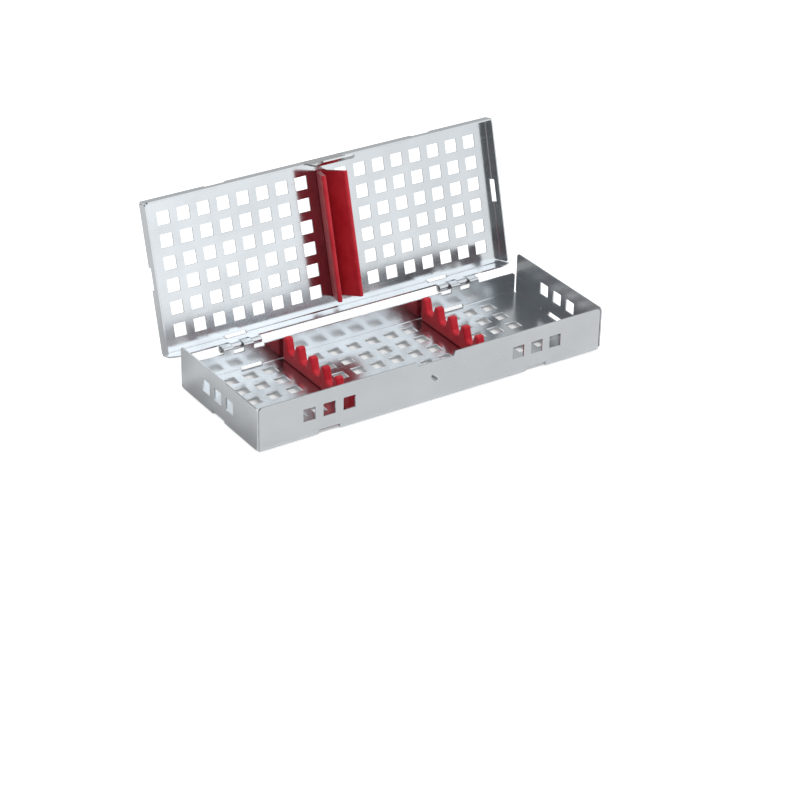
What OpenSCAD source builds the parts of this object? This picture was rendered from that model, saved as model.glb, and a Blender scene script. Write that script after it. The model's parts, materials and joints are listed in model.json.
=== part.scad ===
// Dental instrument cassette: a perforated tray and lid folded from thin sheet, joined by
// two rolled hinges, with a sprung latch tongue, two silicone racks and a hold-down bar.
// The origin is the centre of the tray's underside. The front, with the latch, faces -Y.
// The lid is drawn closed and then turned back to its open stop.

/* [Sheet] */
// Thickness of the folded sheet
sheet_t = 0.7; // [0.5:0.1:0.9]
// Outside radius of every fold
fold_r = 1.1; // [1:0.1:1.6]

/* [Tray] */
// Length of the tray along X
tray_len = 177; // [172:0.5:190]
// Depth of the tray along Y
tray_depth = 65.4; // [62:0.2:72]
// Height of the front and end walls
tray_h = 20.4; // [18:0.2:24]
// Height of the back wall, below the lid's back skirt
back_wall_h = 10.4; // [10:0.1:12]
// Open slit where two walls meet in a corner
corner_slit = 0.4; // [0.3:0.1:1]
// Radius of the walls' upper corners
wall_corner_r = 1.5; // [0.5:0.5:3]
// Width of the relief notch in the middle of the front wall's edge
front_notch_w = 18; // [12:1:24]
// Depth of that notch
front_notch_h = 2.1; // [1:0.1:3]

/* [Lid] */
// Length of the lid along X
lid_len = 180; // [179.4:0.2:181]
// Clear gap between the tray's front wall and the lid's front skirt
lid_front_gap = 1.2; // [0.8:0.1:1.6]
// Clear gap between the tray's back wall and the lid's back skirt
lid_back_gap = 1; // [0.8:0.1:1.8]
// Height of the lid's outer face above the tray's underside, closed
closed_h = 22.6; // [22:0.1:24]
// Height of the front skirt
skirt_h = 7; // [6:0.5:9]
// Height of the end skirts
end_skirt_h = 6.2; // [5:0.2:8]
// Height of the back skirt
back_skirt_h = 9.2; // [8.4:0.1:9.3]
// Length of the sloping cut at each lower corner of the back skirt
skirt_cut_l = 4; // [2:0.5:6]
// Height of that cut
skirt_cut_h = 2.6; // [1:0.2:3.4]
// Radius of the lower corners of the front and end skirts
skirt_corner_r = 1.2; // [0.4:0.1:2]
// Size of the small relief notch where two skirts meet
skirt_notch = 1.8; // [1:0.1:2.4]

/* [Perforation] */
// Side of every square hole
hole_w = 6; // [4:0.5:7]
// Distance between hole columns
pitch_x = 9.85; // [8.5:0.05:10]
// Distance between hole rows
pitch_y = 10; // [8:0.1:10.4]
// Rows of holes in the tray's floor and in the lid
hole_rows = 6; // [4:2:6]
// Columns of holes in each half of the lid
lid_cols = 8; // [4:1:8]
// Extra width of the lid's middle land, which carries the hold-down bar
lid_land = 1.1; // [0:0.1:3]
// Columns of holes between the two racks
floor_mid_cols = 6; // [2:2:6]
// Columns of holes outside each rack
floor_end_cols = 3; // [1:1:3]
// Centre of the group of columns outside each rack
floor_end_x = 58; // [56:0.5:60]
// Holes in each group in the walls
wall_cols = 3; // [1:2:3]
// Centre of the groups in the front wall, and of the slots above them
group_x = 53.3; // [46:0.1:60]
// Height of the middle of the wall holes
wall_hole_z = 10.9; // [8:0.1:11]
// Length of the slots across the folds
slot_l = 10.6; // [6:0.2:14]
// Reach of those slots into the flat sheet
slot_reach = 1.5; // [1.2:0.1:2]
// Height of the tray's slots, from the fold up the wall
tray_slot_h = 2; // [1.2:0.1:3]
// Height of the lid's slots, from the fold down the skirt
lid_slot_h = 2.8; // [1.2:0.1:3.6]

/* [Hinges] */
// Distance of each hinge's middle from the centre
hinge_x = 57; // [40:0.5:70]
// Radius of the hinge pins
pin_r = 0.95; // [0.7:0.05:1]
// Radial running clearance of the pins
pin_fit = 0.05; // [0.03:0.01:0.08]
// Length of one knuckle
knuckle_l = 4.8; // [4:0.1:6]
// Gap between two knuckles
knuckle_gap = 0.3; // [0.25:0.05:0.5]
// Height of the hinge axis above the underside
hinge_z = 11.2; // [11:0.1:11.8]
// Radius of the upset heads on the pins
pin_head_r = 1.2; // [1.1:0.05:1.5]
// Angle between the closed lid and its open stop
open_angle = 105; // [90:1:115]

/* [Latch] */
// Width of the latch tongue
tongue_w = 18.6; // [14:0.2:24]
// Width of the slot on each side of the tongue
tongue_slot = 0.8; // [0.5:0.1:1.2]
// Height of the tongue's lower edge, closed
tongue_bottom = 4.2; // [3:0.2:6]
// Height of the crease above the catch hole
crease_z = 12.4; // [12:0.1:13.5]
// Inward set of the tongue at the crease
crease_in = 0.3; // [0:0.1:0.5]
// Height at which the finger lip starts to flare
lip_z = 7.6; // [6.8:0.1:8]
// Outward flare of the finger lip
lip_out = 2; // [1:0.1:3]
// Radius of the lip's lower corners
lip_corner_r = 2.2; // [1:0.2:4]
// Height of the catch stud
catch_z = 10.2; // [9.8:0.1:10.4]
// Radius of the catch stud's head
catch_r = 1.25; // [1:0.05:1.5]
// Radial clearance of the tongue's hole round the stud
catch_gap = 0.5; // [0.3:0.05:0.6]
// Reach of the stud past the tongue's outer face
catch_proud = 0.5; // [0.2:0.1:0.8]

/* [Racks] */
// Distance of each rack's middle from the centre
rack_x = 36.4; // [35.5:0.1:37]
// Thickness of a rack along X
rack_t = 4; // [3:0.2:5]
// Height of a rack above the floor
rack_h = 11.3; // [9:0.1:14]
// Places for instruments in a rack
rack_places = 5; // [3:1:5]
// Distance between two places
rack_pitch = 10.45; // [9:0.05:11]
// Width of a place
groove_w = 7.7; // [5:0.1:8]
// Depth of a place
groove_d = 5.2; // [4.6:0.1:8]
// Radius of the rounded corners at the bottom of a place
groove_r = 1.9; // [0.8:0.1:2.4]
// Gap between the back wall and a rack's back end
rack_back_gap = 1.4; // [0.6:0.1:2]
// Radius of the racks' rounded edges
rack_edge_r = 1; // [0.4:0.1:1.4]
// Radius of the plugs that hold a rack in the floor
plug_r = 1.5; // [1:0.1:2]

/* [Hold-down bar] */
// Length of the bar along Y
bar_l = 58.4; // [50:0.2:62]
// Width of the bead on the lid's outer face
bead_w = 3.2; // [2.4:0.1:4]
// Height of that bead
bead_h = 1.3; // [0.8:0.1:2]
// Thickness of the neck that passes through the lid
neck_t = 1.4; // [1:0.1:2]
// Width of the flange inside the lid
flange_w = 5; // [4:0.2:7]
// Thickness of that flange
flange_t = 0.9; // [0.6:0.1:1.5]
// Length of each lip
bar_lip_l = 12; // [8:0.5:13]
// Set-back of the lips' ends from the bar's ends
bar_lip_inset = 1; // [0:0.1:3]
// Thickness of each lip at its root
bar_lip_t = 2.4; // [1.2:0.1:2.8]
// Thickness of each lip at its tip
bar_tip_t = 2; // [0.8:0.1:2.4]
// Angle of each lip from the lid's normal
bar_lip_a = 34; // [20:1:40]

/* [Hidden] */
$fn = 48;
STEEL = [0.78, 0.8, 0.82];
BRIGHT = [0.88, 0.89, 0.9];
RED = [0.78, 0.14, 0.2];
over = 1;                       // overshoot of every cutting body
wall_y = tray_depth / 2;        // outer face of the tray's front and back walls
wall_x = tray_len / 2;          // outer face of the tray's end walls
lid_front = -wall_y - lid_front_gap - sheet_t;   // outer face of the front skirt
lid_back = wall_y + lid_back_gap + sheet_t;      // outer face of the back skirt
lid_depth = lid_back - lid_front;
lid_mid = (lid_back + lid_front) / 2;
lid_under = closed_h - sheet_t; // inner face of the lid, closed
knuckle_bore = pin_r + pin_fit;
knuckle_r = knuckle_bore + sheet_t;
hinge_y = lid_back - sheet_t + knuckle_r;        // the leaves are tangent to the barrel
hinge_step = knuckle_l + knuckle_gap;
hinge_l = 4 * knuckle_l + 3 * knuckle_gap;
notch_below = 0.5;              // depth of the back wall's notches below the lid's knuckles
notch_z = hinge_z - knuckle_r - notch_below;
swing_gap = 0.5;                // clearance of the lid's skirt round the tray's knuckles
fuse = 0.01;                    // overlap of two bodies that make one piece
root_below = 0.6;               // distance of the tongue's axis below the end of the fold
root_z = closed_h - fold_r - root_below;
root_r = sheet_t / 2;
root_y = lid_front + root_r;
root_fit = 0.05;
tooth_t = rack_pitch - groove_w;
rack_l = rack_places * rack_pitch + tooth_t;
rack_back = wall_y - sheet_t - rack_back_gap;
plug_fit = 0.05;
neck_fit = 0.1;
stud_shank_r = 0.9;             // shank of the catch stud, in the front wall
stud_clench_t = 0.3;            // clenched back end of the stud, inside the front wall
stud_clench_in = 0.2;           // taper of that end
pin_head_t = 0.3;               // thickness of the pins' upset heads
pin_head_in = 0.25;             // taper of those heads
pin_play = 0.15;                // end play of the pins
notch_slope = 1;                // run of the sloping ends of the front notch
skirt_slit = 0.3;               // open slit where two skirts of the lid meet

// Helpers

// Quarter of a bent sheet seen along its fold, centred on the fold's axis
module bend(quarter) {
    rotate(90 * quarter) intersection() {
        difference() {
            circle(r = fold_r);
            circle(r = fold_r - sheet_t);
        }
        square(fold_r + over);
    }
}

// Section of a folded channel: a flat web with a wall at each end, opening towards +Y
module channel(width, left_h, right_h) {
    inner = width / 2 - fold_r;
    translate([-inner, 0]) square([2 * inner, sheet_t]);
    translate([-inner, fold_r]) bend(2);
    translate([inner, fold_r]) bend(3);
    translate([-width / 2, fold_r]) square([sheet_t, left_h - fold_r]);
    translate([width / 2 - sheet_t, fold_r]) square([sheet_t, right_h - fold_r]);
}

// Sheet channel that runs along X, with its walls at the front and back
module channel_x(length, width, front_h, back_h) {
    rotate([90, 0, 90]) linear_extrude(length, center = true) channel(width, front_h, back_h);
}

// Sheet channel that runs along Y, with its walls at the two ends
module channel_y(length, width, wall_h) {
    rotate([90, 0, 0]) linear_extrude(length, center = true) channel(width, wall_h, wall_h);
}

// Solid inside corner that rounds a square corner pointing along +X +Y
module corner_waste(r, past = over) {
    difference() {
        square(r + past);
        circle(r = r);
    }
}

// Outline with both upper corners rounded
module round_top(width, height, r) {
    difference() {
        translate([-width / 2, 0]) square([width, height]);
        for (side = [0, 1]) mirror([side, 0])
            translate([width / 2 - r, height - r]) corner_waste(r);
    }
}

// Even row of numbers round zero
function spread(count, step) = [for (i = [0 : count - 1]) (i - (count - 1) / 2) * step];

// Square holes through the XY plane, at every crossing of the columns and rows
module holes(columns, rows) {
    for (x = columns, y = rows)
        translate([x - hole_w / 2, y - hole_w / 2, -over])
            cube([hole_w, hole_w, sheet_t + 2 * over]);
}

// Square hole through a wall whose outer face is at the origin, facing -Y
module wall_hole(x, z) {
    translate([x - hole_w / 2, -over, z - hole_w / 2])
        cube([hole_w, sheet_t + 2 * over, hole_w]);
}

// Slot across a fold: the fold's outer edge lies along X at the origin
module fold_slot(height) {
    translate([-slot_l / 2, -over, -over]) cube([slot_l, sheet_t + over, height + over]);
    translate([-slot_l / 2, -over, -over]) cube([slot_l, slot_reach + over, fold_r + over]);
}

// Places a thing at the front, back, left and right edge, turned to face inwards
module at_edges(length, depth, mid) {
    for (x = [-group_x, group_x]) {
        translate([x, mid - depth / 2, 0]) children();
        translate([x, mid + depth / 2, 0]) rotate(180) children();
    }
    translate([-length / 2, mid, 0]) rotate(-90) children();
    translate([length / 2, mid, 0]) rotate(90) children();
}

// One barrel of a hinge, starting at x and running along +X
module barrel(x) {
    translate([x, hinge_y, hinge_z]) rotate([0, 90, 0]) cylinder(r = knuckle_r, h = knuckle_l);
}

module bore(x) {
    translate([x, hinge_y, hinge_z]) rotate([0, 90, 0])
        translate([0, 0, -over]) cylinder(r = knuckle_bore, h = knuckle_l + 2 * over);
}

// Start of knuckle i, counted from the outer end of the right hinge inwards
function knuckle_x(i) = hinge_x + hinge_l / 2 - knuckle_l - i * hinge_step;

// Does both hinges alike
module both_sides() {
    children();
    mirror([1, 0, 0]) children();
}

// Turns what is drawn closed back to the lid's open stop
module opened() {
    translate([0, hinge_y, hinge_z]) rotate([-open_angle, 0, 0])
        translate([0, -hinge_y, -hinge_z]) children();
}

// Tray

// Tab that rises from the back wall, turns back over the pin and rolls round it
module tray_leaf(x) {
    inner = wall_y - sheet_t;
    top = hinge_z + knuckle_r;
    difference() {
        union() {
            barrel(x);
            translate([x, 0, 0]) rotate([90, 0, 90]) linear_extrude(knuckle_l) {
                translate([inner, notch_z - sheet_t]) square([sheet_t, top - fold_r - notch_z + sheet_t]);
                translate([inner + fold_r, top - fold_r]) bend(1);
                translate([inner + fold_r, top - sheet_t]) square([hinge_y - inner - fold_r, sheet_t]);
            }
        }
        bore(x);
    }
}

module tray() {
    web_l = tray_len - 2 * fold_r;
    side_l = tray_len - 2 * sheet_t - 2 * corner_slit;
    end_l = tray_depth - sheet_t - corner_slit;
    rows = spread(hole_rows, pitch_y);
    mid = spread(floor_mid_cols, pitch_x);
    end = [for (x = spread(floor_end_cols, pitch_x)) x + floor_end_x];
    color(STEEL) {
        difference() {
            union() {
                channel_x_tray(web_l, side_l);
                channel_y_tray(end_l);
            }
            holes(mid, rows);
            both_sides() holes(end, rows);
            both_sides() rack_plugs(plug_r + plug_fit, over);
            at_edges(tray_len, tray_depth, 0) fold_slot(tray_slot_h);
            both_sides() for (dx = spread(wall_cols, pitch_x))
                translate([0, -wall_y, 0]) wall_hole(group_x + dx, wall_hole_z);
            both_sides() for (dx = spread(wall_cols, pitch_x))
                translate([wall_x, 0, 0]) rotate(90) wall_hole(dx, wall_hole_z);
            translate([0, over - wall_y + sheet_t, tray_h]) rotate([90, 0, 0])
                linear_extrude(sheet_t + 2 * over) front_notch();
            translate([0, -wall_y - over, catch_z]) rotate([-90, 0, 0])
                cylinder(r = stud_shank_r, h = sheet_t + 2 * over);
            both_sides() for (i = [1, 3])
                translate([knuckle_x(i) - knuckle_gap, wall_y - sheet_t - over, notch_z])
                    cube([knuckle_l + 2 * knuckle_gap, sheet_t + 2 * over, back_wall_h]);
        }
        both_sides() for (i = [0, 2]) tray_leaf(knuckle_x(i));
    }
}

// Relief notch in the front wall's edge, seen from the front with the edge at the origin
module front_notch() {
    polygon([
        [-front_notch_w / 2, -front_notch_h], [front_notch_w / 2, -front_notch_h],
        [front_notch_w / 2 + notch_slope, 0], [front_notch_w / 2 + notch_slope, over],
        [-front_notch_w / 2 - notch_slope, over], [-front_notch_w / 2 - notch_slope, 0]]);
}

// Floor with the front and back walls, whose ends stop short of the end walls
module channel_x_tray(web_l, side_l) {
    intersection() {
        channel_x(side_l, tray_depth, tray_h, back_wall_h);
        union() {
            translate([-web_l / 2, -wall_y, 0]) cube([web_l, tray_depth, fold_r]);
            translate([0, over - wall_y + sheet_t, fold_r - fuse]) rotate([90, 0, 0])
                linear_extrude(2 * over + sheet_t) round_top(side_l, tray_h - fold_r + fuse, wall_corner_r);
            translate([0, wall_y + over, fold_r - fuse]) rotate([90, 0, 0])
                linear_extrude(2 * over + sheet_t)
                    round_top(side_l, back_wall_h - fold_r + fuse, wall_corner_r);
        }
    }
}

// End walls with the floor between them
module channel_y_tray(end_l) {
    shift = (sheet_t + corner_slit) / 2;
    difference() {
        translate([0, -shift, 0]) channel_y(end_l, tray_len, tray_h);
        both_sides() translate([wall_x, -shift, 0]) rotate([90, 0, -90])
            difference() {
                translate([-end_l / 2 - over, tray_h - wall_corner_r, -over])
                    cube([end_l + 2 * over, wall_corner_r + over, sheet_t + 2 * over]);
                translate([0, 0, -2 * over]) linear_extrude(sheet_t + 4 * over)
                    round_top(end_l, tray_h, wall_corner_r);
            }
        for (front = [-1, 1]) both_sides() translate([wall_x - fold_r, front * (wall_y - fold_r / 2), 0])
            translate([0, -fold_r, -over]) cube([fold_r + over, 2 * fold_r, fold_r + over]);
    }
}

// Catch stud: a rivet with a domed head in the front wall
module catch_stud() {
    reach = lid_front_gap + sheet_t + catch_proud;
    color(BRIGHT) translate([0, -wall_y, catch_z]) rotate([90, 0, 0]) {
        rotate_extrude() {
            square([catch_r, reach - catch_r]);
            translate([0, reach - catch_r]) intersection() {
                circle(r = catch_r);
                square(catch_r);
            }
        }
        translate([0, 0, -sheet_t]) cylinder(r = stud_shank_r, h = sheet_t);
        translate([0, 0, -sheet_t - stud_clench_t])
            cylinder(r1 = catch_r - stud_clench_in, r2 = catch_r, h = stud_clench_t);
    }
}

// Lid

module lid_leaf(x) {
    leaf = hinge_y - knuckle_r;
    difference() {
        union() {
            barrel(x);
            translate([x, leaf, hinge_z])
                cube([knuckle_l, sheet_t, closed_h - back_skirt_h - hinge_z + over]);
        }
        bore(x);
    }
}

// Sloping cut at the lower corner of the back skirt, seen from outside with the corner at +X
module skirt_cut(half, edge_z) {
    translate([half, edge_z]) polygon([
        [-skirt_cut_l - over, -over], [-skirt_cut_l, 0], [0, skirt_cut_h], [over, skirt_cut_h + over],
        [over, -over]]);
}

// Waste of the rounded lower corner of a skirt, seen in the same way
module skirt_round(half, edge_z) {
    translate([half - skirt_corner_r, edge_z + skirt_corner_r]) mirror([0, 1])
        corner_waste(skirt_corner_r, skirt_slit / 2);
}

// Lid without its holes and leaves: two folded channels, open in the corners
module lid_shell() {
    side_len = lid_len - 2 * skirt_slit;
    end_len = lid_depth - 2 * sheet_t - 2 * skirt_slit;
    difference() {
        translate([0, lid_mid, closed_h]) rotate([180, 0, 0]) {
            intersection() {
                channel_x(lid_len, lid_depth, back_skirt_h, skirt_h);
                union() {
                    cube([lid_len - 2 * fold_r, lid_depth, 2 * fold_r], center = true);
                    translate([-side_len / 2, -lid_depth / 2, fold_r / 2])
                        cube([side_len, lid_depth, back_skirt_h]);
                }
            }
            intersection() {
                channel_y(lid_depth, lid_len, end_skirt_h);
                union() {
                    cube([lid_len, lid_depth - 2 * fold_r, 2 * fold_r], center = true);
                    translate([-lid_len / 2, -end_len / 2, fold_r / 2])
                        cube([lid_len, end_len, end_skirt_h]);
                }
            }
        }
        both_sides() translate([0, lid_front + sheet_t + skirt_slit / 2, 0]) rotate([90, 0, 0])
            linear_extrude(sheet_t + over) skirt_round(side_len / 2, closed_h - skirt_h);
        both_sides() translate([0, lid_back + over, 0]) rotate([90, 0, 0])
            linear_extrude(sheet_t + over + skirt_slit / 2)
                skirt_cut(lid_len / 2, closed_h - back_skirt_h);
        both_sides() for (turn = [0, 1]) translate([lid_len / 2 - sheet_t, lid_mid, 0])
            mirror([0, turn, 0]) rotate([90, 0, 90]) translate([0, 0, -skirt_slit])
                linear_extrude(sheet_t + skirt_slit + over)
                    skirt_round(end_len / 2, closed_h - end_skirt_h);
    }
}

module lid() {
    cols = concat([for (i = [0 : lid_cols - 1]) pitch_x * (i + 1) + lid_land / 2],
                  [for (i = [0 : lid_cols - 1]) -pitch_x * (i + 1) - lid_land / 2]);
    gate = tongue_w / 2 + tongue_slot;
    color(STEEL) opened() {
        difference() {
            lid_shell();
            translate([0, lid_mid, lid_under]) holes(cols, spread(hole_rows, pitch_y));
            translate([0, 0, closed_h]) mirror([0, 0, 1]) at_edges(lid_len, lid_depth, lid_mid)
                fold_slot(lid_slot_h);
            translate([-gate, lid_front - over, closed_h - skirt_h - over])
                cube([2 * gate, sheet_t + 2 * over, skirt_h + over - (closed_h - root_z) + root_r / 2]);
            translate([0, root_y, root_z]) rotate([0, 90, 0])
                cylinder(r = root_r + root_fit, h = 2 * gate, center = true);
            for (x = [-1, 1], y = [lid_front, lid_back])
                translate([x * lid_len / 2, y, closed_h]) cube(skirt_notch, center = true);
            translate([-neck_t / 2 - neck_fit, lid_mid - bar_l / 2 - neck_fit + bead_w / 2, lid_under - over])
                cube([neck_t + 2 * neck_fit, bar_l + 2 * neck_fit - bead_w, sheet_t + 2 * over]);
            both_sides() for (i = [0, 2])
                translate([knuckle_x(i) - knuckle_gap, hinge_y - knuckle_r - over, hinge_z])
                    cube([knuckle_l + 2 * knuckle_gap, sheet_t + 2 * over, knuckle_r + swing_gap]);
        }
        both_sides() for (i = [1, 3]) lid_leaf(knuckle_x(i));
    }
}

// Latch tongue: the flexing middle of the front skirt, with a crease and a flared lip
module latch_tongue() {
    face = lid_front;
    color(BRIGHT) opened() difference() {
        intersection() {
            translate([-tongue_w / 2, 0, 0]) rotate([90, 0, 90]) linear_extrude(tongue_w)
                difference() {
                    polygon([
                        [face, root_z + root_r], [face + sheet_t, root_z + root_r],
                        [face + sheet_t, root_z], [face + sheet_t + crease_in, crease_z],
                        [face + sheet_t, lip_z], [face + sheet_t - lip_out, tongue_bottom],
                        [face - lip_out, tongue_bottom], [face, lip_z],
                        [face + crease_in, crease_z], [face, root_z]]);
                    translate([root_y, root_z]) for (side = [0, 1]) mirror([side, 0])
                        corner_waste(root_r);
                }
            translate([0, face + 4 * sheet_t, root_z + over]) rotate([-90, 0, 180])
                linear_extrude(4 * sheet_t + lip_out + over)
                    round_top(tongue_w, root_z + over - tongue_bottom, lip_corner_r);
        }
        translate([0, face - over, catch_z]) rotate([-90, 0, 0])
            cylinder(r = catch_r + catch_gap, h = sheet_t + crease_in + 2 * over);
    }
}

// Hinge pins

// Headed pin of the right hinge, drawn along X
module hinge_pin() {
    length = hinge_l + 2 * pin_play;
    color(BRIGHT) translate([hinge_x - length / 2, hinge_y, hinge_z]) rotate([0, 90, 0]) {
        cylinder(r = pin_r, h = length);
        translate([0, 0, length]) cylinder(r1 = pin_head_r, r2 = pin_head_r - pin_head_in, h = pin_head_t);
        translate([0, 0, -pin_head_t]) cylinder(r1 = pin_head_r - pin_head_in, r2 = pin_head_r, h = pin_head_t);
    }
}

module hinge_pin_right() hinge_pin();
module hinge_pin_left() mirror([1, 0, 0]) hinge_pin();

// Silicone racks

// Plugs that hold the right rack in the tray's floor, with an optional overshoot below
module rack_plugs(r, below) {
    for (y = [-1, 0, 1] * 2 * rack_pitch)
        translate([rack_x, rack_back - rack_l / 2 + y, -below])
            cylinder(r = r, h = sheet_t + below + fuse);
}

// Outline of one place, seen from the side with its upper edge at the origin
module rack_place() {
    translate([0, over]) mirror([0, 1]) round_top(groove_w, groove_d + over, groove_r);
}

// Side view of a rack: round-bottomed places between round-topped teeth
module rack_side() {
    difference() {
        square([rack_l, rack_h]);
        for (i = [0 : rack_places - 1]) translate([tooth_t + groove_w / 2 + i * rack_pitch, rack_h])
            rack_place();
        for (i = [0 : rack_places]) translate([tooth_t / 2 + i * rack_pitch, rack_h - rack_edge_r])
            for (side = [0, 1]) mirror([side, 0])
                translate([tooth_t / 2 - rack_edge_r, 0]) corner_waste(rack_edge_r);
    }
}

module rack() {
    color(RED) {
        intersection() {
            translate([rack_x - rack_t / 2, rack_back - rack_l, sheet_t]) rotate([90, 0, 90])
                linear_extrude(rack_t) rack_side();
            translate([rack_x, rack_back + over, sheet_t]) rotate([90, 0, 0])
                linear_extrude(rack_l + 2 * over) round_top(rack_t, rack_h, rack_edge_r);
        }
        rack_plugs(plug_r, 0);
    }
}

module rack_right() rack();
module rack_left() mirror([1, 0, 0]) rack();

// Hold-down bar: bead outside, neck through the lid, flange and two soft lips inside
module bar_lip() {
    rotate(bar_lip_a) {
        polygon([[-bar_lip_t / 2, 0], [bar_lip_t / 2, 0], [bar_tip_t / 2, -bar_lip_l], [-bar_tip_t / 2, -bar_lip_l]]);
        translate([0, -bar_lip_l]) circle(d = bar_tip_t);
    }
}

module hold_down_bar() {
    lip_root = sheet_t + sin(bar_lip_a) * bar_lip_t / 2;
    color(RED) opened() translate([0, lid_mid + bar_l / 2, closed_h]) rotate([90, 0, 0]) {
        linear_extrude(bar_l) {
            intersection() {
                translate([0, bead_h - bead_w / 2]) circle(d = bead_w);
                translate([-bead_w, 0]) square([2 * bead_w, bead_w]);
            }
            translate([-flange_w / 2, -sheet_t - flange_t]) square([flange_w, flange_t]);
        }
        translate([0, 0, bar_lip_inset]) linear_extrude(bar_l - 2 * bar_lip_inset)
            for (side = [0, 1]) mirror([side, 0]) translate([0, -lip_root]) bar_lip();
        translate([0, 0, bead_w / 2]) linear_extrude(bar_l - bead_w)
            translate([-neck_t / 2, -sheet_t - flange_t]) square([neck_t, sheet_t + flange_t + bead_h / 2]);
    }
}

tray();
lid();
latch_tongue();
catch_stud();
hinge_pin_left();
hinge_pin_right();
rack_left();
rack_right();
hold_down_bar();
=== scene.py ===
import json
import math

import bpy
from bpy.props import FloatProperty, FloatVectorProperty, IntProperty, PointerProperty
from mathutils import Matrix, Quaternion, Vector


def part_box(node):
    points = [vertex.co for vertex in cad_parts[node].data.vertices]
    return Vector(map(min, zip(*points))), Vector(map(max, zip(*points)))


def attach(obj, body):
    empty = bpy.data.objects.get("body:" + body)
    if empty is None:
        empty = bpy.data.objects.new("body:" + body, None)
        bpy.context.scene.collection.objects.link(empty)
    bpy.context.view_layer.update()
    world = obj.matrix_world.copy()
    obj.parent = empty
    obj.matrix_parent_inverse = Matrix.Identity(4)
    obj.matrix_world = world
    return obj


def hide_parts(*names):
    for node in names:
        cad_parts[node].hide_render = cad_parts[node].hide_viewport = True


bl_info = {
    "name": "Instrument Cassette",
    "version": (1, 0, 0),
    "blender": (4, 5, 0),
    "location": "3D View > Sidebar > Cassette",
    "description": "Finishes a folded steel instrument cassette with its silicone racks and bar",
    "category": "Add Mesh",
}

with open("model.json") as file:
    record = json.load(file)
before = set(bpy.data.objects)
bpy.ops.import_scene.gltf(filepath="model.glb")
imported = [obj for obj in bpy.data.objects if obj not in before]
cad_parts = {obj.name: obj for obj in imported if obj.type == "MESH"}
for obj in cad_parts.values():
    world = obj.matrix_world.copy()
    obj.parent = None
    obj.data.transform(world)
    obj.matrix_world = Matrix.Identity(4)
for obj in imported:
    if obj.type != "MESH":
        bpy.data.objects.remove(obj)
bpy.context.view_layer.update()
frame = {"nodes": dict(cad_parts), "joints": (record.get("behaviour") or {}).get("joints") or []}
SHEET_NODES = ("tray", "lid")
TONGUE_NODE = "latch_tongue"
STUD_NODE = "catch_stud"
PIN_NODES = ("hinge_pin_left", "hinge_pin_right")
RACK_NODES = ("rack_left", "rack_right")
BAR_NODE = "hold_down_bar"
SMOOTH_ANGLE = math.radians(40.0)
CORNER_ANGLE = math.radians(50.0)
FLOOR_SIZE = 8.0
SENSOR_WIDTH = 36.0
TRIM_REACH = 0.01


# Settings

class CassetteSteel(bpy.types.PropertyGroup):
    """Finish of the folded sheet and of the turned pins"""
    sheet_colour: FloatVectorProperty(
        name="Sheet colour", description="Colour of the satin sheet", subtype="COLOR",
        size=3, min=0.0, max=1.0, default=(0.625, 0.65, 0.672))
    bright_colour: FloatVectorProperty(
        name="Bright colour", description="Colour of polished steel", subtype="COLOR",
        size=3, min=0.0, max=1.0, default=(0.74, 0.75, 0.755))
    tray_roughness: FloatProperty(
        name="Tray roughness", description="Blur of the reflections in the tray's sheet", subtype="FACTOR",
        min=0.0, max=1.0, default=0.2)
    lid_roughness: FloatProperty(
        name="Lid roughness", description="Blur of the reflections in the lid's sheet", subtype="FACTOR",
        min=0.0, max=1.0, default=0.13)
    pin_roughness: FloatProperty(
        name="Pin roughness", description="Blur of the reflections in the hinge pins", subtype="FACTOR",
        min=0.1, max=0.9, default=0.23)
    stud_roughness: FloatProperty(
        name="Stud roughness", description="Blur of the reflections in the tumbled stud", subtype="FACTOR",
        min=0.1, max=0.9, default=0.5)
    edge_radius: FloatProperty(
        name="Edge radius", description="Rounding that tumbling leaves on cut edges",
        subtype="DISTANCE", unit="LENGTH", min=0.0, max=0.001, default=0.00012)
    grain_width: FloatProperty(
        name="Grain width", description="Spacing of the rolling marks across the sheet",
        subtype="DISTANCE", unit="LENGTH", min=0.00005, max=0.002, default=0.00025)
    grain_depth: FloatProperty(
        name="Grain depth", description="Depth of the rolling marks",
        subtype="DISTANCE", unit="LENGTH", min=0.0, max=0.0001, default=0.0000006)


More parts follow.
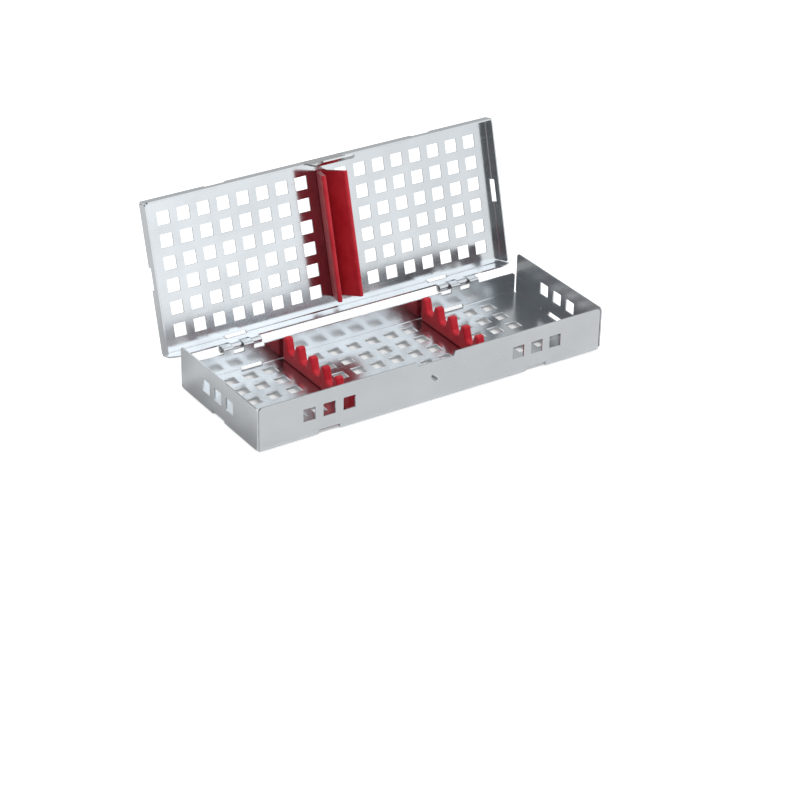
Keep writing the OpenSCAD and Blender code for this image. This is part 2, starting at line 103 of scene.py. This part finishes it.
class CassetteSilicone(bpy.types.PropertyGroup):
    """Shape and finish of the red silicone parts"""
    floor_thickness: FloatProperty(
        name="Floor thickness", description="Thickness of the sheet that the racks' plugs fill",
        subtype="DISTANCE", unit="LENGTH", min=0.0002, max=0.002, default=0.0007)
    places: IntProperty(
        name="Places", description="Instrument places in a rack", min=1, max=9, default=5)
    pitch: FloatProperty(
        name="Pitch", description="Distance between two places", subtype="DISTANCE",
        unit="LENGTH", min=0.004, max=0.03, default=0.01045)
    place_width: FloatProperty(
        name="Place width", description="Width of a place at the tops of the teeth", subtype="DISTANCE",
        unit="LENGTH", min=0.002, max=0.02, default=0.0080)
    place_bottom: FloatProperty(
        name="Place bottom", description="Width of a place at its bottom", subtype="DISTANCE",
        unit="LENGTH", min=0.001, max=0.02, default=0.0042)
    place_depth: FloatProperty(
        name="Place depth", description="Depth of a place below the tops of the teeth",
        subtype="DISTANCE", unit="LENGTH", min=0.001, max=0.01, default=0.0062)
    place_round: FloatProperty(
        name="Place rounding", description="Radius at the bottom of a place", subtype="DISTANCE",
        unit="LENGTH", min=0.0002, max=0.004, default=0.0014)
    moulded_round: FloatProperty(
        name="Moulded rounding", description="Radius of the moulded edges", subtype="DISTANCE",
        unit="LENGTH", min=0.0001, max=0.002, default=0.0009)
    plug_radius: FloatProperty(
        name="Plug radius", description="Radius of the plugs in the floor", subtype="DISTANCE",
        unit="LENGTH", min=0.0005, max=0.003, default=0.0015)
    bead_width: FloatProperty(
        name="Bead width", description="Width of the bead outside the lid", subtype="DISTANCE",
        unit="LENGTH", min=0.001, max=0.01, default=0.0032)
    bead_height: FloatProperty(
        name="Bead height", description="Height of the bead outside the lid", subtype="DISTANCE",
        unit="LENGTH", min=0.0005, max=0.004, default=0.0013)
    neck_width: FloatProperty(
        name="Neck width", description="Thickness of the neck through the lid", subtype="DISTANCE",
        unit="LENGTH", min=0.0005, max=0.004, default=0.0014)
    flange_width: FloatProperty(
        name="Flange width", description="Width of the flange inside the lid", subtype="DISTANCE",
        unit="LENGTH", min=0.002, max=0.012, default=0.0046)
    flange_height: FloatProperty(
        name="Flange height", description="Thickness of the flange inside the lid", subtype="DISTANCE",
        unit="LENGTH", min=0.0003, max=0.003, default=0.0009)
    lip_length: FloatProperty(
        name="Lip length", description="Length of each soft lip", subtype="DISTANCE",
        unit="LENGTH", min=0.002, max=0.02, default=0.0126)
    lip_thickness: FloatProperty(
        name="Lip thickness", description="Thickness of each soft lip", subtype="DISTANCE",
        unit="LENGTH", min=0.0005, max=0.004, default=0.002)
    lip_edge: FloatProperty(
        name="Lip edge", description="Diameter of the rounded edge of each lip", subtype="DISTANCE",
        unit="LENGTH", min=0.0005, max=0.004, default=0.0022)
    lip_inset: FloatProperty(
        name="Lip inset", description="Set-back of the lips from the ends of the bar", subtype="DISTANCE",
        unit="LENGTH", min=0.0, max=0.01, default=0.0004)
    lip_offset: FloatProperty(
        name="Lip offset", description="Distance of each lip's root from the middle of the bar",
        subtype="DISTANCE", unit="LENGTH", min=0.0, max=0.004, default=0.0012)
    lip_angle: FloatProperty(
        name="Lip angle", description="Angle of each lip from the lid's normal", subtype="ANGLE",
        unit="ROTATION", default=math.radians(20.0))
    voxel_size: FloatProperty(
        name="Voxel size", description="Grain of the mesh that joins the bar's forms",
        subtype="DISTANCE", unit="LENGTH", min=0.0002, max=0.002, default=0.0003)
    edge_radius: FloatProperty(
        name="Edge radius", description="Softening of the sharp moulded edges in the shading",
        subtype="DISTANCE", unit="LENGTH", min=0.0, max=0.001, default=0.0002)
    colour: FloatVectorProperty(
        name="Colour", description="Colour of the silicone", subtype="COLOR",
        size=3, min=0.0, max=1.0, default=(0.42, 0.01, 0.022))
    roughness: FloatProperty(
        name="Roughness", description="Dullness of the moulded surface", subtype="FACTOR",
        min=0.0, max=1.0, default=0.42)


class CassetteStage(bpy.types.PropertyGroup):
    """Camera, lights and floor"""
    camera_place: FloatVectorProperty(
        name="Camera place", description="Where the camera stands", subtype="TRANSLATION",
        unit="LENGTH", size=3, default=(-0.5611, -0.8478, 0.5543))
    camera_aim: FloatVectorProperty(
        name="Camera aim", description="Point in the middle of the picture", subtype="TRANSLATION",
        unit="LENGTH", size=3, default=(-0.0012, -0.0074, -0.0124))
    camera_roll: FloatProperty(
        name="Camera roll", description="Tilt of the camera about its own axis", subtype="ANGLE",
        unit="ROTATION", default=math.radians(1.255))
    lens: FloatProperty(
        name="Lens", description="Focal length on a 36 mm sensor, in millimetres",
        min=20.0, max=300.0, default=118.63)
    floor_colour: FloatVectorProperty(
        name="Floor colour", description="Colour of the floor", subtype="COLOR",
        size=3, min=0.0, max=1.0, default=(0.76, 0.76, 0.76))
    lamp_aim: FloatVectorProperty(
        name="Lamp aim", description="Point that both lamps face", subtype="TRANSLATION",
        unit="LENGTH", size=3, default=(0.0, 0.0, 0.02))
    key_place: FloatVectorProperty(
        name="Key place", description="Where the large soft lamp stands", subtype="TRANSLATION",
        unit="LENGTH", size=3, default=(1.2, -0.9, 2.0))
    key_size: FloatProperty(
        name="Key size", description="Side of the large soft lamp", subtype="DISTANCE",
        unit="LENGTH", min=0.1, default=1.3)
    key_power: FloatProperty(
        name="Key power", description="Power of the large soft lamp, in watts", min=0.0, default=38.0)
    fill_place: FloatVectorProperty(
        name="Fill place", description="Where the weaker soft lamp stands", subtype="TRANSLATION",
        unit="LENGTH", size=3, default=(-1.3, -1.6, 1.5))
    fill_size: FloatProperty(
        name="Fill size", description="Side of the weaker soft lamp", subtype="DISTANCE",
        unit="LENGTH", min=0.1, default=1.2)
    fill_power: FloatProperty(
        name="Fill power", description="Power of the weaker soft lamp, in watts", min=0.0, default=12.0)
    sky_strength: FloatProperty(
        name="Sky strength", description="Light from all round", min=0.0, default=0.6)
    floor_gap: FloatProperty(
        name="Floor gap", description="Depth of the floor below the tray", subtype="DISTANCE",
        unit="LENGTH", min=0.0001, max=0.005, default=0.0013)
    floor_lift: FloatProperty(
        name="Floor lift", description="White added to the floor as the camera sees it", min=0.0,
        max=1.0, default=0.68)
    lift_inset: FloatProperty(
        name="Lift inset", description="Distance that this white reaches in under the tray",
        subtype="DISTANCE", unit="LENGTH", min=0.0, max=0.02, default=0.003)
    under_lift: FloatProperty(
        name="Light under the tray",
        description="Light that metal mirrors through the holes in the tray's floor",
        min=0.0, max=1.0, default=0.3)
    lift_fade: FloatProperty(
        name="Lift fade", description="Half width of the strip round the tray where that white begins",
        subtype="DISTANCE", unit="LENGTH", min=0.0001, max=0.02, default=0.001)
    table_reach: FloatProperty(
        name="Table reach",
        description="Distance from which metal mirrors the studio instead of the floor",
        subtype="DISTANCE", unit="LENGTH", min=0.1, max=4.0, default=0.4)
    front_glow: FloatProperty(
        name="Front glow", description="Mirrored light from the front right", min=0.0, default=1.0)
    outer_share: FloatProperty(
        name="Outer share", description="Share of that light that is left farther to the right", min=0.0,
        max=1.0, default=0.7)
    back_low: FloatProperty(
        name="Low back wall", description="Mirrored light from the back right, low down", min=0.0,
        default=0.28)
    back_high: FloatProperty(
        name="High back wall", description="Mirrored light from the back right, higher up", min=0.0,
        default=0.5)
    side_dark: FloatProperty(
        name="Dark side", description="Mirrored light from the left", min=0.0, default=0.05)
    side_band: FloatProperty(
        name="Band of the dark side", description="Light of a paler band on the left", min=0.0, default=0.22)
    deep_gain: FloatProperty(
        name="Deep gain", description="Brightening of what metal shows by way of other metal", min=1.0,
        max=4.0, default=2.8)
    deep_fill: FloatProperty(
        name="Deep fill", description="Least light in what metal shows by way of other metal", min=0.0,
        default=0.35)
    band_height: FloatProperty(
        name="Band height", description="Height of that band, as a share of the sky", min=0.0, max=1.0,
        default=0.36)
    band_half: FloatProperty(
        name="Band half width", description="Half of that band's width, as a share of the sky",
        min=0.0, max=1.0, default=0.05)
    table_left: FloatProperty(
        name="Left table", description="Mirrored light of the far table on the left", min=0.0, default=0.45)
    table_right: FloatProperty(
        name="Right table", description="Mirrored light of the far table on the right", min=0.0, default=0.75)


# Nodes

def new_nodes(owner):
    """Empties a node tree and gives a function that adds a node to it"""
    owner.use_nodes = True
    tree = owner.node_tree
    tree.nodes.clear()

    def add(kind, inputs=None, **settings):
        node = tree.nodes.new(kind)
        for key, value in settings.items():
            setattr(node, key, value)
        for key, value in (inputs or {}).items():
            if isinstance(value, bpy.types.NodeSocket):
                tree.links.new(value, node.inputs[key])
            else:
                node.inputs[key].default_value = value
        return node

    return add


def new_material(name):
    """An empty node material and the function that adds nodes to it"""
    material = bpy.data.materials.new(name)
    return material, new_nodes(material)


def finish_shader(add, shader):
    """Puts a shader on the material's output"""
    add("ShaderNodeOutputMaterial", {"Surface": shader.outputs[0]})


def stretched(add, source, scale):
    """Object coordinates scaled per axis, so that a noise runs along one of them"""
    return add("ShaderNodeMapping", {"Vector": source, "Scale": scale}).outputs[0]


def noise(add, vector, scale, detail=2.0, roughness=0.5):
    inputs = {"Vector": vector, "Scale": scale, "Detail": detail, "Roughness": roughness}
    return add("ShaderNodeTexNoise", inputs).outputs["Fac"]


def calculate(add, operation, *values):
    """One sum on numbers or sockets"""
    return add("ShaderNodeMath", dict(enumerate(values)), operation=operation).outputs[0]


def remap(add, value, low, high, new_low, new_high):
    inputs = {"Value": value, "From Min": low, "From Max": high, "To Min": new_low, "To Max": new_high}
    return add("ShaderNodeMapRange", inputs).outputs[0]


def blend_colours(add, factor, first, second):
    node = add("ShaderNodeMix", data_type="RGBA")
    rgba = [s for s in node.inputs if s.type == "RGBA"]
    rgba[0].default_value = (*first, 1.0)
    rgba[1].default_value = (*second, 1.0)
    node.id_data.links.new(factor, node.inputs["Factor"])
    return [s for s in node.outputs if s.type == "RGBA"][0]


def steel(name, settings, colour, roughness, grain=1.0):
    """Stainless sheet: rolling grain along X, faint clouds, hairline marks, softened cut edges"""
    material, add = new_material(name)
    place = add("ShaderNodeTexCoord").outputs["Object"]
    along = stretched(add, place, (0.03, 1.0, 1.0))
    fine = noise(add, along, 1.0 / settings.grain_width, 3.0)
    clouds = noise(add, place, 38.0, 4.0, 0.6)
    hairs = noise(add, stretched(add, place, (0.02, 1.0, 1.0)), 900.0, 1.0)
    marks = remap(add, hairs, 0.66, 0.72, 0.0, 1.0)
    dull = [c * 0.93 for c in colour]
    tint = blend_colours(add, remap(add, clouds, 0.35, 0.65, 0.0, 1.0), colour, dull)
    haze = remap(add, clouds, 0.3, 0.7, roughness - 0.03, roughness + 0.04)
    rough = calculate(add, "ADD", haze, remap(add, fine, 0.3, 0.7, -0.02, 0.03))
    rough = calculate(add, "ADD", rough, remap(add, marks, 0.0, 1.0, 0.0, 0.04))
    edge = add("ShaderNodeBevel", {"Radius": settings.edge_radius}, samples=6)
    bump = add("ShaderNodeBump", {
        "Strength": 1.0, "Distance": settings.grain_depth * grain, "Height": fine,
        "Normal": edge.outputs[0]})
    shader = add("ShaderNodeBsdfPrincipled", {
        "Base Color": tint, "Metallic": 1.0, "Roughness": rough,
        "Normal": bump.outputs[0]})
    finish_shader(add, shader)
    return material


def turned_steel(name, settings, roughness):
    """Bright steel with the fine rings that a lathe leaves"""
    material, add = new_material(name)
    place = add("ShaderNodeTexCoord").outputs["Object"]
    rings = noise(add, stretched(add, place, (8.0, 1.0, 1.0)), 1500.0, 2.0)
    spots = noise(add, place, 900.0, 3.0)
    bright = settings.bright_colour
    tint = blend_colours(add, remap(add, spots, 0.35, 0.7, 0.0, 1.0), bright, [c * 0.86 for c in bright])
    rough = remap(add, rings, 0.3, 0.7, roughness - 0.07, roughness + 0.07)
    bump = add("ShaderNodeBump", {"Strength": 0.6, "Distance": 0.000002, "Height": rings})
    shader = add("ShaderNodeBsdfPrincipled", {
        "Base Color": tint, "Metallic": 1.0, "Roughness": rough, "Normal": bump.outputs[0]})
    finish_shader(add, shader)
    return material


def silicone(name, settings):
    """Moulded silicone: a satin skin with faint flow clouds and a fine eroded texture"""
    material, add = new_material(name)
    place = add("ShaderNodeTexCoord").outputs["Object"]
    clouds = noise(add, place, 110.0, 3.0, 0.55)
    skin = noise(add, place, 5200.0, 2.0, 0.6)
    base = settings.colour
    pale = [min(1.0, c * 1.18 + 0.012) for c in base]
    tint = blend_colours(add, remap(add, clouds, 0.35, 0.65, 0.0, 1.0), base, pale)
    rough = remap(add, skin, 0.3, 0.7, settings.roughness - 0.05, settings.roughness + 0.06)
    edge = add("ShaderNodeBevel", {"Radius": settings.edge_radius}, samples=6)
    bump = add("ShaderNodeBump", {
        "Strength": 0.5, "Distance": 0.000012, "Height": skin, "Normal": edge.outputs[0]})
    shader = add("ShaderNodeBsdfPrincipled", {
        "Base Color": tint, "Roughness": rough, "IOR": 1.41, "Specular IOR Level": 0.3,
        "Subsurface Weight": 0.12,
        "Subsurface Radius": (0.9, 0.12, 0.1), "Subsurface Scale": 0.0008,
        "Sheen Weight": 0.12, "Sheen Roughness": 0.5, "Normal": bump.outputs[0]})
    finish_shader(add, shader)
    return material


def dress(piece, material):
    """Gives every face of a piece the material"""
    piece.data.materials.clear()
    piece.data.materials.append(material)
    for face in piece.data.polygons:
        face.material_index = 0


# Operators

class CASSETTE_OT_sheet(bpy.types.Operator):
    """Finishes the folded tray and lid in satin steel"""
    bl_idname = "cassette.sheet"
    bl_label = "Folded sheet"

    def execute(self, context):
        look = context.scene.cassette_steel
        for name, roughness in zip(SHEET_NODES, (look.tray_roughness, look.lid_roughness)):
            dress(frame["nodes"][name], steel(name + "_sheet", look, look.sheet_colour, roughness))
        return {"FINISHED"}


class CASSETTE_OT_tongue(bpy.types.Operator):
    """Finishes the latch tongue in brighter, worked steel"""
    bl_idname = "cassette.tongue"
    bl_label = "Latch tongue"

    def execute(self, context):
        look = context.scene.cassette_steel
        dress(frame["nodes"][TONGUE_NODE], steel("tongue_sheet", look, look.bright_colour, 0.17, 0.6))
        return {"FINISHED"}


class CASSETTE_OT_pins(bpy.types.Operator):
    """Finishes the hinge pins and the catch stud"""
    bl_idname = "cassette.pins"
    bl_label = "Pins and stud"

    def execute(self, context):
        settings = context.scene.cassette_steel
        pins = turned_steel("turned_pins", settings, settings.pin_roughness)
        for name in PIN_NODES:
            dress(frame["nodes"][name], pins)
        dress(frame["nodes"][STUD_NODE], turned_steel("turned_stud", settings, settings.stud_roughness))
        return {"FINISHED"}


def block(name, low, high, turn=0.0, pivot=(0.0, 0.0, 0.0)):
    """Box between two corners, turned about Y round a pivot"""
    bpy.ops.mesh.primitive_cube_add(size=1.0, location=(0.0, 0.0, 0.0))
    piece = bpy.context.object
    piece.name = name
    bpy.ops.object.mode_set(mode="EDIT")
    bpy.ops.mesh.select_all(action="SELECT")
    bpy.ops.transform.resize(value=[h - l for l, h in zip(low, high)], center_override=(0.0, 0.0, 0.0))
    bpy.ops.transform.translate(value=[(h + l) / 2 for l, h in zip(low, high)])
    if turn:
        bpy.ops.transform.rotate(value=turn, orient_axis="Y", center_override=pivot)
    bpy.ops.object.mode_set(mode="OBJECT")
    return piece


def taper(piece, level, factor, centre):
    """Narrows a piece along Y at its lower end"""
    alone(piece)
    for vertex in piece.data.vertices:
        vertex.select = vertex.co.z < level
    for item in (*piece.data.edges, *piece.data.polygons):
        item.select = all(piece.data.vertices[i].select for i in item.vertices)
    bpy.ops.object.mode_set(mode="EDIT")
    bpy.ops.transform.resize(value=(1.0, factor, 1.0), center_override=centre)
    bpy.ops.object.mode_set(mode="OBJECT")


def rod(name, radius, length, axis, centre, segments=48):
    """Round rod along Y or Z"""
    turn = (math.pi / 2, 0.0, 0.0) if axis == "Y" else (0.0, 0.0, 0.0)
    bpy.ops.mesh.primitive_cylinder_add(
        vertices=segments, radius=radius, depth=length, location=centre, rotation=turn)
    piece = bpy.context.object
    piece.name = name
    bpy.ops.object.transform_apply(location=True, rotation=True, scale=True)
    return piece


def alone(piece):
    """Makes a piece the only selected and the active one"""
    bpy.ops.object.select_all(action="DESELECT")
    piece.select_set(True)
    bpy.context.view_layer.objects.active = piece


def apply_modifier(piece, kind, **settings):
    """Adds a modifier and applies it at once"""
    alone(piece)
    modifier = piece.modifiers.new(kind.lower(), kind)
    for key, value in settings.items():
        setattr(modifier, key, value)
    bpy.ops.object.modifier_apply(modifier=modifier.name)


def combine(piece, others, operation):
    """Joins the others to a piece or cuts them out of it, and deletes them"""
    for other in others:
        apply_modifier(piece, "BOOLEAN", operation=operation, solver="EXACT", object=other)
    for other in others:
        alone(other)
        bpy.ops.object.delete()
    alone(piece)


def round_off(piece, width, angle, segments=4):
    """Rounds the edges that turn by more than an angle and smooths the shading"""
    apply_modifier(piece, "BEVEL", width=width, segments=segments, limit_method="ANGLE", angle_limit=angle,
                   use_clamp_overlap=True, harden_normals=False)
    bpy.ops.object.shade_smooth_by_angle(angle=SMOOTH_ANGLE)


class CASSETTE_OT_racks(bpy.types.Operator):
    """Makes the two silicone racks: rounded teeth on a rail, with plugs in the floor"""
    bl_idname = "cassette.racks"
    bl_label = "Silicone racks"

    def rack(self, name, settings):
        low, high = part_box(name)
        rail_low = Vector((low[0], low[1], low[2] + settings.floor_thickness))
        body = block(name + "_soft", rail_low, high)
        middle_x, middle_y = (low[0] + high[0]) / 2, (low[1] + high[1]) / 2
        first = middle_y - (settings.places - 1) / 2 * settings.pitch
        steep = (settings.place_width - settings.place_bottom) / 2 / settings.place_depth
        over = settings.place_depth
        half = settings.place_width / 2 + steep * over
        cutters = []
        for i in range(settings.places):
            y = first + i * settings.pitch
            cutter = block("place", (low[0] - over, y - half, high[2] - settings.place_depth),
                           (high[0] + over, y + half, high[2] + over))
            taper(cutter, high[2], settings.place_bottom / 2 / half, (low[0], y, high[2]))
            round_off(cutter, settings.place_round, CORNER_ANGLE, 6)
            cutters.append(cutter)
        combine(body, cutters, "DIFFERENCE")
        round_off(body, settings.moulded_round, CORNER_ANGLE, 5)
        plug_h = settings.floor_thickness + settings.moulded_round
        plugs = []
        for k in (-2, 0, 2):
            centre = (middle_x, middle_y + k * settings.pitch, low[2] + plug_h / 2)
            plugs.append(rod("plug", settings.plug_radius, plug_h, "Z", centre))
        alone(body)
        for plug in plugs:
            plug.select_set(True)
        bpy.ops.object.join()
        return body

    def execute(self, context):
        settings = context.scene.cassette_silicone
        look = silicone("red_silicone", settings)
        for name in RACK_NODES:
            rack = self.rack(name, settings)
            dress(rack, look)
            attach(rack, "tray")
            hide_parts(name)
        return {"FINISHED"}


class CASSETTE_OT_bar(bpy.types.Operator):
    """Makes the silicone hold-down bar: a bead outside the lid, a flange and two soft lips inside"""
    bl_idname = "cassette.bar"
    bl_label = "Hold-down bar"

    def execute(self, context):
        settings = context.scene.cassette_silicone
        hinge = next(j for j in frame["joints"] if j["name"] == "lid_hinge")
        pivot = Vector(hinge["pos_m"])
        opening = -math.radians(hinge["range_deg"][1])
        place = Matrix.Translation(pivot) @ Matrix.Rotation(opening, 4, "X") @ Matrix.Translation(-pivot)
        node = frame["nodes"][BAR_NODE]
        closed = [place.inverted() @ vertex.co for vertex in node.data.vertices]
        low = Vector([min(point[i] for point in closed) for i in range(3)])
        high = Vector([max(point[i] for point in closed) for i in range(3)])
        top = high[2] - settings.bead_height
        under = top - settings.floor_thickness
        ends = (low[1], high[1])
        middle_y = sum(ends) / 2
        bar = block("bar_soft", (-settings.flange_width / 2, ends[0], under - settings.flange_height),
                    (settings.flange_width / 2, ends[1], under))
        inset = settings.bead_width / 2
        neck = block("neck", (-settings.neck_width / 2, ends[0] + inset, under - settings.flange_height / 2),
                     (settings.neck_width / 2, ends[1] - inset, high[2] - settings.bead_height / 2))
        bead = rod("bead", settings.bead_width / 2, ends[1] - ends[0], "Y",
                   (0.0, middle_y, high[2] - settings.bead_width / 2))
        past = TRIM_REACH
        trim = block("trim", (-past, ends[0] - past, top - past), (past, ends[1] + past, top))
        combine(bead, [trim], "DIFFERENCE")
        parts = [neck, bead]
        root_z = under - math.sin(settings.lip_angle) * settings.lip_thickness / 2
        lip_ends = (ends[0] + settings.lip_inset, ends[1] - settings.lip_inset)
        for side in (-1, 1):
            reach = settings.lip_length
            root_x = side * settings.lip_offset
            half = settings.lip_thickness / 2
            lip = block("lip", (root_x - half, lip_ends[0], root_z - reach),
                        (root_x + half, lip_ends[1], root_z),
                        side * settings.lip_angle, (root_x, 0.0, root_z))
            edge_x = root_x + side * math.sin(settings.lip_angle) * reach
            edge_z = root_z - math.cos(settings.lip_angle) * reach
            edge = rod("edge", settings.lip_edge / 2, lip_ends[1] - lip_ends[0], "Y",
                       (edge_x, middle_y, edge_z), 32)
            parts += [lip, edge]
        combine(bar, parts, "UNION")
        apply_modifier(bar, "REMESH", mode="VOXEL", voxel_size=settings.voxel_size)
        apply_modifier(bar, "SMOOTH", factor=0.5, iterations=6)
        alone(bar)
        bpy.ops.object.shade_smooth()
        bar.matrix_world = place
        bpy.ops.object.transform_apply(location=True, rotation=True, scale=True)
        dress(bar, silicone("red_bar", settings))
        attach(bar, "lid")
        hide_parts(BAR_NODE)
        return {"FINISHED"}


class CASSETTE_OT_stage(bpy.types.Operator):
    """Sets the floor, the soft lights and the camera"""
    bl_idname = "cassette.stage"
    bl_label = "Floor, lights and camera"

    def floor(self, settings):
        bpy.ops.mesh.primitive_plane_add(size=FLOOR_SIZE, location=(0.0, 0.0, -settings.floor_gap))
        floor = bpy.context.object
        floor.name = "floor"
        bpy.ops.object.transform_apply(location=True, rotation=True, scale=True)
        material, add = new_material("pale_floor")
        lit = add("ShaderNodeBsdfDiffuse", {"Color": (*settings.floor_colour, 1.0)})
        place = add("ShaderNodeTexCoord").outputs["Object"]
        split = add("ShaderNodeSeparateXYZ", {0: place})
        outside = []
        for axis, (low, high) in zip("XY", zip(*[point[:2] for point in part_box("tray")])):
            offset = calculate(add, "SUBTRACT", split.outputs[axis], (low + high) / 2)
            size = calculate(add, "ABSOLUTE", offset)
            half = (high - low) / 2 - settings.lift_inset
            outside.append(remap(add, size, half - settings.lift_fade, half + settings.lift_fade, 0.0, 1.0))
        clear_of_tray = calculate(add, "MAXIMUM", outside[0], outside[1])
        lift = calculate(add, "MULTIPLY", clear_of_tray, settings.floor_lift)
        glow = add("ShaderNodeEmission", {"Color": (1.0, 1.0, 1.0, 1.0), "Strength": lift})
        seen = add("ShaderNodeAddShader", {0: lit.outputs[0], 1: glow.outputs[0]})
        path = add("ShaderNodeLightPath")
        covered = calculate(add, "SUBTRACT", 1.0, clear_of_tray)
        dim = calculate(add, "MULTIPLY", covered, settings.under_lift)
        dim = calculate(add, "MULTIPLY", dim, path.outputs["Is Glossy Ray"])
        under = add("ShaderNodeEmission", {"Color": (1.0, 1.0, 1.0, 1.0), "Strength": dim})
        plain = add("ShaderNodeAddShader", {0: lit.outputs[0], 1: under.outputs[0]})
        shown = add("ShaderNodeMixShader", {
            0: path.outputs["Is Camera Ray"], 1: plain.outputs[0], 2: seen.outputs[0]})
        away = add("ShaderNodeVectorMath", {0: place}, operation="LENGTH").outputs["Value"]
        far = remap(add, away, settings.table_reach, settings.table_reach * 1.5, 0.0, 1.0)
        hidden = calculate(add, "MULTIPLY", far, path.outputs["Is Glossy Ray"])
        clear = add("ShaderNodeBsdfTransparent")
        finish_shader(add, add("ShaderNodeMixShader", {
            0: hidden, 1: shown.outputs[0], 2: clear.outputs[0]}))
        floor.data.materials.append(material)

    def lamp(self, name, place, aim, size, power):
        bpy.ops.object.light_add(type="AREA", location=place)
        lamp = bpy.context.object
        lamp.name = name
        lamp.data.shape = "SQUARE"
        lamp.data.size = size
        lamp.data.energy = power
        lamp.visible_glossy = False
        lamp.rotation_euler = (Vector(aim) - Vector(place)).to_track_quat("-Z", "Y").to_euler()

    def sky(self, context, settings):
        world = bpy.data.worlds.new("studio")
        context.scene.world = world
        add = new_nodes(world)

        def lerp(factor, first, second):
            inputs = {"Value": factor, "To Min": first, "To Max": second}
            return add("ShaderNodeMapRange", inputs).outputs[0]

        split = add("ShaderNodeSeparateXYZ", {0: add("ShaderNodeTexCoord").outputs["Generated"]})
        right = remap(add, split.outputs["X"], -0.2, 0.3, 0.0, 1.0)
        back = remap(add, split.outputs["Y"], -0.3, 0.5, 0.0, 1.0)
        rise = remap(add, split.outputs["Z"], 0.0, 0.45, 0.0, 1.0)
        sunk = remap(add, split.outputs["Z"], 0.0, -0.12, 0.0, 1.0)
        wall = lerp(rise, settings.back_low, settings.back_high)
        outer = remap(add, split.outputs["X"], 0.42, 0.62, 1.0, settings.outer_share)
        front = calculate(add, "MULTIPLY", outer, settings.front_glow)
        bright = lerp(back, front, wall)
        band = calculate(add, "COMPARE", split.outputs["Z"], settings.band_height, settings.band_half)
        dark = lerp(band, settings.side_dark, settings.side_band)
        around = lerp(right, dark, bright)
        table = lerp(right, settings.table_left, settings.table_right)
        glow = lerp(sunk, around, table)
        path = add("ShaderNodeLightPath")
        gain = remap(add, path.outputs["Ray Depth"], 1.6, 3.6, 1.0, settings.deep_gain)
        least = remap(add, path.outputs["Ray Depth"], 2.0, 4.0, 0.0, settings.deep_fill)
        glow = calculate(add, "MAXIMUM", calculate(add, "MULTIPLY", glow, gain), least)
        even = add("ShaderNodeBackground", {"Color": (1.0, 1.0, 1.0, 1.0), "Strength": settings.sky_strength})
        mirrored = add("ShaderNodeBackground", {"Color": (0.97, 0.99, 1.0, 1.0), "Strength": glow})
        white = add("ShaderNodeBackground", {"Color": (1.0, 1.0, 1.0, 1.0), "Strength": 1.0})
        glossy = add("ShaderNodeMixShader", {
            0: path.outputs["Is Glossy Ray"], 1: even.outputs[0], 2: mirrored.outputs[0]})
        seen = add("ShaderNodeMixShader", {
            0: path.outputs["Is Camera Ray"], 1: glossy.outputs[0], 2: white.outputs[0]})
        add("ShaderNodeOutputWorld", {"Surface": seen.outputs[0]})

    def camera(self, context, settings):
        place = Vector(settings.camera_place)
        bpy.ops.object.camera_add(location=place)
        camera = bpy.context.object
        camera.name = "camera"
        level = (Vector(settings.camera_aim) - place).to_track_quat("-Z", "Y")
        camera.rotation_mode = "QUATERNION"
        camera.rotation_quaternion = level @ Quaternion((0.0, 0.0, 1.0), settings.camera_roll)
        camera.data.sensor_width = SENSOR_WIDTH
        camera.data.lens = settings.lens
        camera.data.clip_start = 0.01
        camera.data.clip_end = 50.0
        context.scene.camera = camera

    def execute(self, context):
        settings = context.scene.cassette_stage
        self.floor(settings)
        aim = settings.lamp_aim
        self.lamp("key", settings.key_place, aim, settings.key_size, settings.key_power)
        self.lamp("fill", settings.fill_place, aim, settings.fill_size, settings.fill_power)
        self.sky(context, settings)
        self.camera(context, settings)
        context.scene.view_settings.view_transform = "Standard"
        return {"FINISHED"}


class CASSETTE_PT_tools(bpy.types.Panel):
    """Buttons that finish the cassette piece by piece"""
    bl_idname = "CASSETTE_PT_tools"
    bl_label = "Instrument cassette"
    bl_space_type = "VIEW_3D"
    bl_region_type = "UI"
    bl_category = "Cassette"

    def draw(self, context):
        for operator in OPERATORS:
            self.layout.operator(operator.bl_idname)
        for group in (context.scene.cassette_steel, context.scene.cassette_silicone):
            column = self.layout.column()
            for name in group.bl_rna.properties.keys():
                if name not in ("rna_type", "name"):
                    column.prop(group, name)


OPERATORS = (CASSETTE_OT_sheet, CASSETTE_OT_tongue, CASSETTE_OT_pins, CASSETTE_OT_racks,
             CASSETTE_OT_bar, CASSETTE_OT_stage)
GROUPS = {
    "cassette_steel": CassetteSteel,
    "cassette_silicone": CassetteSilicone,
    "cassette_stage": CassetteStage,
}


def register():
    for item in (*GROUPS.values(), *OPERATORS, CASSETTE_PT_tools):
        bpy.utils.register_class(item)
    for name, group in GROUPS.items():
        setattr(bpy.types.Scene, name, PointerProperty(type=group))


def unregister():
    for name in GROUPS:
        delattr(bpy.types.Scene, name)
    for item in reversed((*GROUPS.values(), *OPERATORS, CASSETTE_PT_tools)):
        bpy.utils.unregister_class(item)


def main():
    register()
    bpy.ops.object.select_all(action="DESELECT")
    bpy.ops.cassette.sheet()
    bpy.ops.cassette.tongue()
    bpy.ops.cassette.pins()
    bpy.ops.cassette.racks()
    bpy.ops.cassette.bar()
    bpy.ops.cassette.stage()


if __name__ == "__main__":
    main()
